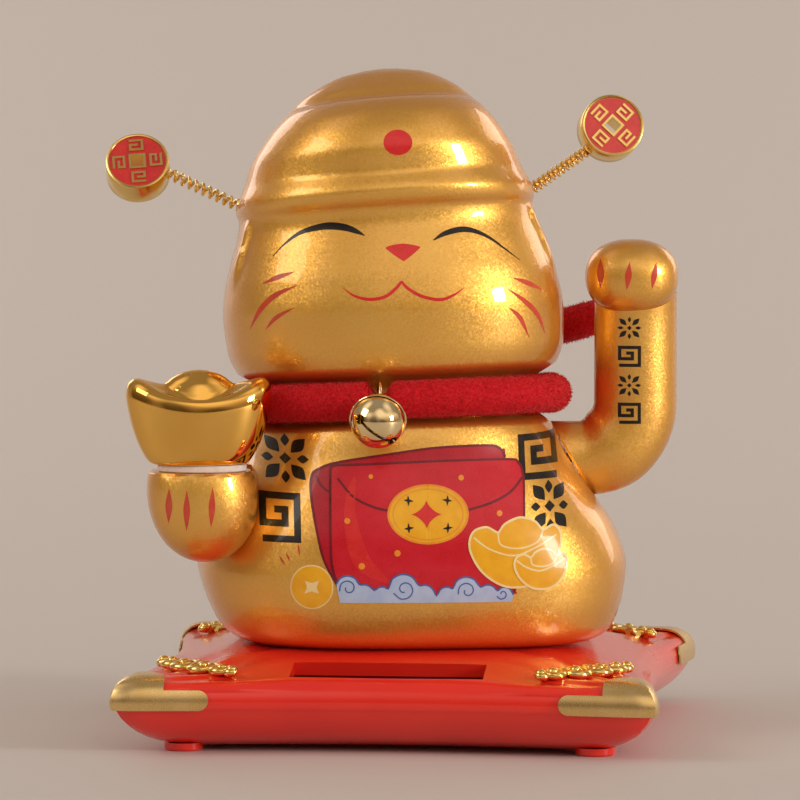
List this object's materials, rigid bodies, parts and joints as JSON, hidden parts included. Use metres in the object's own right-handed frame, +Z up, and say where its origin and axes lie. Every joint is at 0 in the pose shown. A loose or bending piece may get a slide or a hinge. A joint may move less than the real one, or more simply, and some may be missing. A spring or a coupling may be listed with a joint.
{
  "type": "beckoning cat figurine",
  "caption": "Gold beckoning cat on a red cushion-shaped base, with a swinging raised arm, jingle bell, gold ingot and spring-mounted coins.",
  "frame": {"origin": "middle of the base tray's flat underside", "axes": "+Z up; the cat faces -Y, turned 10 degrees towards +X; the raised arm is on the +X side and the ingot on the -X side"},
  "size_m": [0.1076, 0.1012, 0.1255],
  "materials": {
    "red_plastic": "glossy moulded ABS",
    "gold_paint": "pearlescent gold spray paint under clear coat",
    "satin_gold": "satin gold paint",
    "bright_gold": "bright gold hot-stamped",
    "mirror_gold": "vacuum-plated mirror gold",
    "plated_brass": "bright plated",
    "coin_enamel": "plated gold with red enamel faces",
    "red_chenille": "chenille pile on a wire core",
    "steel": "plain",
    "white_nylon": "natural nylon",
    "solar_glass": "dark amorphous silicon cell behind glass",
    "green_board": "solder mask",
    "black_epoxy": "cast epoxy",
    "copper": "enamelled winding wire",
    "foam": "adhesive foam pad",
    "red_lead": "insulated wire",
    "black_lead": "insulated wire"
  },
  "bodies": {
    "root": {"base_top": "red_plastic", "base_tray": "red_plastic", "corner_cap_front_left": "satin_gold", "cloud_front_left": "bright_gold", "base_screw_front_left": "steel", "corner_cap_front_right": "satin_gold", "cloud_front_right": "bright_gold", "base_screw_front_right": "steel", "corner_cap_rear_right": "satin_gold", "cloud_rear_right": "bright_gold", "base_screw_rear_right": "steel", "corner_cap_rear_left": "satin_gold", "cloud_rear_left": "bright_gold", "base_screw_rear_left": "steel", "solar_cell": "solar_glass", "circuit_board": "green_board", "control_chip": "black_epoxy", "storage_capacitor": "black_epoxy", "coil_bobbin": "white_nylon", "shoulder_bearing": "white_nylon", "axle_post": "white_nylon", "coil_winding": "copper", "solar_lead_red": "red_lead", "solar_lead_black": "black_lead", "body_screw_front": "steel", "body_screw_rear": "steel", "body_front_shell": "gold_paint", "body_back_shell": "gold_paint", "collar": "red_chenille", "ingot": "mirror_gold", "ingot_pad": "foam"},
    "arm": {"arm_front_shell": "gold_paint", "arm_back_shell": "gold_paint", "arm_axle": "steel", "axle_clip": "steel", "pendulum_lever": "white_nylon", "pendulum_magnet": "steel"},
    "bell_hanger": {"bell_ring": "plated_brass"},
    "bell": {"bell_upper": "plated_brass", "bell_lower": "plated_brass"},
    "clapper": {"bell_clapper": "steel"},
    "antenna_left": {"spring_left": "plated_brass"},
    "antenna_right": {"spring_right": "plated_brass"},
    "coin_left": {"coin_left": "coin_enamel"},
    "coin_right": {"coin_right": "coin_enamel"}
  },
  "joints": [
    {"name": "arm_swing", "type": "hinge", "parent": "root", "child": "arm", "pos_m": [0.02954, 0.00521, 0.0513], "axis": [0.8613, 0.1519, 0.4848], "range_deg": [-16, 24]},
    {"name": "bell_ring_turn", "type": "hinge", "parent": "root", "child": "bell_hanger", "pos_m": [-0.00284, -0.02816, 0.06463], "axis": [0.9848, 0.1736, 0], "range_deg": [-30, 18]},
    {"name": "bell_sway", "type": "hinge", "parent": "bell_hanger", "child": "bell", "pos_m": [-0.00227, -0.03141, 0.06404], "axis": [0.0302, -0.171, 0.9848], "range_deg": [-16, 16]},
    {"name": "clapper_rattle", "type": "slide", "parent": "bell", "child": "clapper", "axis": [0, 0, 1], "range_m": [0, 0.004]},
    {"name": "antenna_left_bob", "type": "hinge", "parent": "root", "child": "antenna_left", "pos_m": [-0.03281, -0.00629, 0.0999], "axis": [-0.1736, 0.9848, 0], "range_deg": [-14, 14], "stiffness_Nm_per_rad": 0.004},
    {"name": "coin_left_nod", "type": "hinge", "parent": "antenna_left", "child": "coin_left", "pos_m": [-0.04552, -0.00904, 0.106], "axis": [0.4183, 0.0738, 0.9053], "range_deg": [-12, 12], "stiffness_Nm_per_rad": 0.002},
    {"name": "antenna_right_bob", "type": "hinge", "parent": "root", "child": "antenna_right", "pos_m": [0.02354, 0.00415, 0.1032], "axis": [0.1736, -0.9848, 0], "range_deg": [-14, 14], "stiffness_Nm_per_rad": 0.004},
    {"name": "coin_right_nod", "type": "hinge", "parent": "antenna_right", "child": "coin_right", "pos_m": [0.03309, 0.00583, 0.1099], "axis": [-0.5597, -0.0987, 0.8228], "range_deg": [-12, 12], "stiffness_Nm_per_rad": 0.002}
  ]
}
